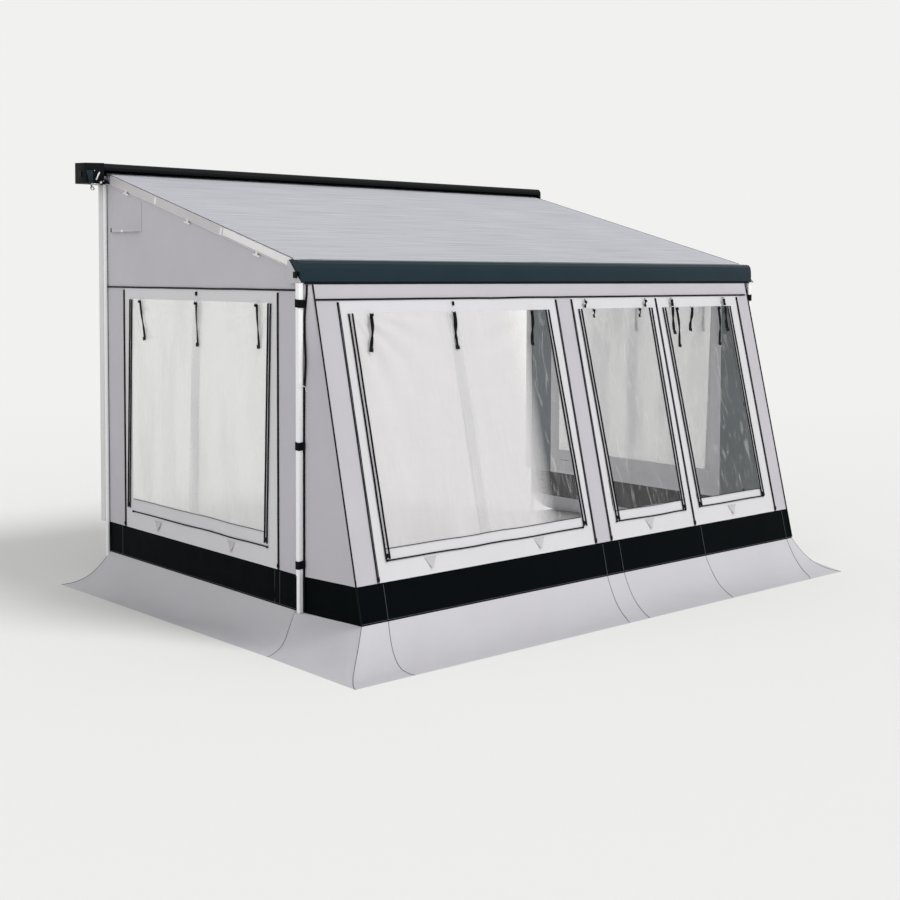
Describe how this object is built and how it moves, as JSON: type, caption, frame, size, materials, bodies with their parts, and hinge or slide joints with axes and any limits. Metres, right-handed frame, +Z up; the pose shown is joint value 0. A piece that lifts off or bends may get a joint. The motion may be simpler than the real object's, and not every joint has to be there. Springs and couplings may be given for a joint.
{
  "type": "recreational vehicle tent",
  "caption": "Wind-out cassette awning for a camper with a zipped-in tent room: sloping front, roll-up window panels, side vents, support legs and ground skirts.",
  "frame": {"origin": "middle of the tent's bounding box on the ground", "axes": "+Z up, +X along the vehicle's wall to the right seen from the front, +Y towards the vehicle"},
  "size_m": [5.27, 3.591, 3.12],
  "materials": {
    "anthracite": "powder coated",
    "white": "white coated",
    "steel": "zinc plated",
    "moulding": "moulded",
    "roof": "coated awning cloth",
    "grey": "woven tent cloth",
    "pale": "woven tent cloth",
    "black": "coated cloth",
    "skirt": "coated cloth",
    "vinyl": "clear film",
    "foam": "closed-cell foam"
  },
  "bodies": {
    "root": {"cassette_shell": "anthracite", "cassette_cap_left": "moulding", "cassette_cap_right": "moulding", "winding_gear": "moulding", "roller_bearing": "steel", "roof_cloth": "roof", "lead_rail": "anthracite", "rail_cap_left": "moulding", "rail_cap_right": "moulding", "rafter_outer_left": "white", "rafter_outer_right": "white", "rafter_inner_left": "white", "rafter_inner_right": "white", "shoulder_bracket_left": "moulding", "shoulder_bracket_right": "moulding", "upper_arm_left": "white", "upper_arm_right": "white", "elbow_pin_left": "steel", "elbow_pin_right": "steel", "forearm_left": "white", "forearm_right": "white", "wrist_bracket_left": "moulding", "wrist_bracket_right": "moulding", "leg_outer_left": "white", "leg_outer_right": "white", "rear_pole_left": "white", "rear_pole_right": "white", "wall_seal_left": "foam", "wall_seal_right": "foam", "side_wall_left": "grey", "side_wall_right": "grey", "side_band_left": "black", "side_band_right": "black", "corner_wedge_left": "grey", "corner_wedge_right": "grey", "front_wall": "grey", "front_band": "black", "side_skirt_left": "skirt", "side_skirt_right": "skirt", "front_skirt": "skirt"},
    "roller": {"roller_tube": "steel", "wound_fabric": "roof"},
    "crank_eye": {"winding_eye": "steel"},
    "vent_left": {"vent_flap_left": "grey"},
    "vent_right": {"vent_flap_right": "grey"},
    "left_door": {"side_panel_left": "pale"},
    "left_door_pane": {"side_window_left": "vinyl"},
    "right_door": {"side_panel_right": "pale"},
    "right_door_pane": {"side_window_right": "vinyl"},
    "front_door_1": {"front_panel_1": "pale"},
    "front_door_1_pane": {"front_window_1": "vinyl"},
    "front_door_2": {"front_panel_2": "pale"},
    "front_door_2_pane": {"front_window_2": "vinyl"},
    "front_door_3": {"front_panel_3": "pale"},
    "front_door_3_pane": {"front_window_3": "vinyl"},
    "left_foot": {"leg_inner_left": "white"},
    "right_foot": {"leg_inner_right": "white"},
    "left_lever": {"leg_lever_left": "moulding"},
    "right_lever": {"leg_lever_right": "moulding"}
  },
  "joints": [
    {"name": "roller_turn", "type": "hinge", "parent": "root", "child": "roller", "pos_m": [0, 1.7255, 3.01438], "axis": [1, 0, 0], "continuous": true},
    {"name": "crank_eye_turn", "type": "hinge", "parent": "root", "child": "crank_eye", "pos_m": [-2.3703, 1.7005, 2.965], "axis": [0, -0.5736, -0.8192], "continuous": true},
    {"name": "vent_left_hinge", "type": "hinge", "parent": "root", "child": "vent_left", "pos_m": [-2.235, 1.6155, 2.9296], "axis": [0, 0.9659, 0.259], "range_deg": [0, 60]},
    {"name": "vent_right_hinge", "type": "hinge", "parent": "root", "child": "vent_right", "pos_m": [2.235, 1.6155, 2.9296], "axis": [0, -0.9659, -0.259], "range_deg": [0, 60]},
    {"name": "left_door_hinge", "type": "hinge", "parent": "root", "child": "left_door", "pos_m": [-2.235, 0.4475, 2.1917], "axis": [0, 1, 0], "range_deg": [0, 90]},
    {"name": "left_door_pane_hinge", "type": "hinge", "parent": "left_door", "child": "left_door_pane", "pos_m": [-2.235, 0.4475, 2.1167], "axis": [0, 1, 0], "range_deg": [0, 60]},
    {"name": "right_door_hinge", "type": "hinge", "parent": "root", "child": "right_door", "pos_m": [2.235, 0.4475, 2.1917], "axis": [0, -1, 0], "range_deg": [0, 90]},
    {"name": "right_door_pane_hinge", "type": "hinge", "parent": "right_door", "child": "right_door_pane", "pos_m": [2.235, 0.4475, 2.1167], "axis": [0, -1, 0], "range_deg": [0, 60]},
    {"name": "front_door_1_hinge", "type": "hinge", "parent": "root", "child": "front_door_1", "pos_m": [-1.035, -0.86386, 2.13271], "axis": [-1, 0, 0], "range_deg": [0, 76]},
    {"name": "front_door_1_pane_hinge", "type": "hinge", "parent": "front_door_1", "child": "front_door_1_pane", "pos_m": [-1.045, -0.88287, 2.05471], "axis": [-1, 0, 0], "range_deg": [0, 70]},
    {"name": "front_door_2_hinge", "type": "hinge", "parent": "root", "child": "front_door_2", "pos_m": [0.5575, -0.86386, 2.13271], "axis": [-1, 0, 0], "range_deg": [0, 76]},
    {"name": "front_door_2_pane_hinge", "type": "hinge", "parent": "front_door_2", "child": "front_door_2_pane", "pos_m": [0.5525, -0.88287, 2.05471], "axis": [-1, 0, 0], "range_deg": [0, 70]},
    {"name": "front_door_3_hinge", "type": "hinge", "parent": "root", "child": "front_door_3", "pos_m": [1.5225, -0.86386, 2.13271], "axis": [-1, 0, 0], "range_deg": [0, 76]},
    {"name": "front_door_3_pane_hinge", "type": "hinge", "parent": "front_door_3", "child": "front_door_3_pane", "pos_m": [1.4975, -0.88287, 2.05471], "axis": [-1, 0, 0], "range_deg": [0, 70]},
    {"name": "left_foot_slide", "type": "slide", "parent": "root", "child": "left_foot", "axis": [0, 0, 1], "range_m": [0, 0.1]},
    {"name": "right_foot_slide", "type": "slide", "parent": "root", "child": "right_foot", "axis": [0, 0, 1], "range_m": [0, 0.1]},
    {"name": "left_lever_hinge", "type": "hinge", "parent": "root", "child": "left_lever", "pos_m": [-2.2533, -0.7917, 0.482], "axis": [1, 0, 0], "range_deg": [0, 85]},
    {"name": "right_lever_hinge", "type": "hinge", "parent": "root", "child": "right_lever", "pos_m": [2.2533, -0.7917, 0.482], "axis": [1, 0, 0], "range_deg": [0, 85]}
  ],
  "couplings": [
    {"joint": "crank_eye_turn", "follows": "roller_turn", "ratio": 8}
  ]
}
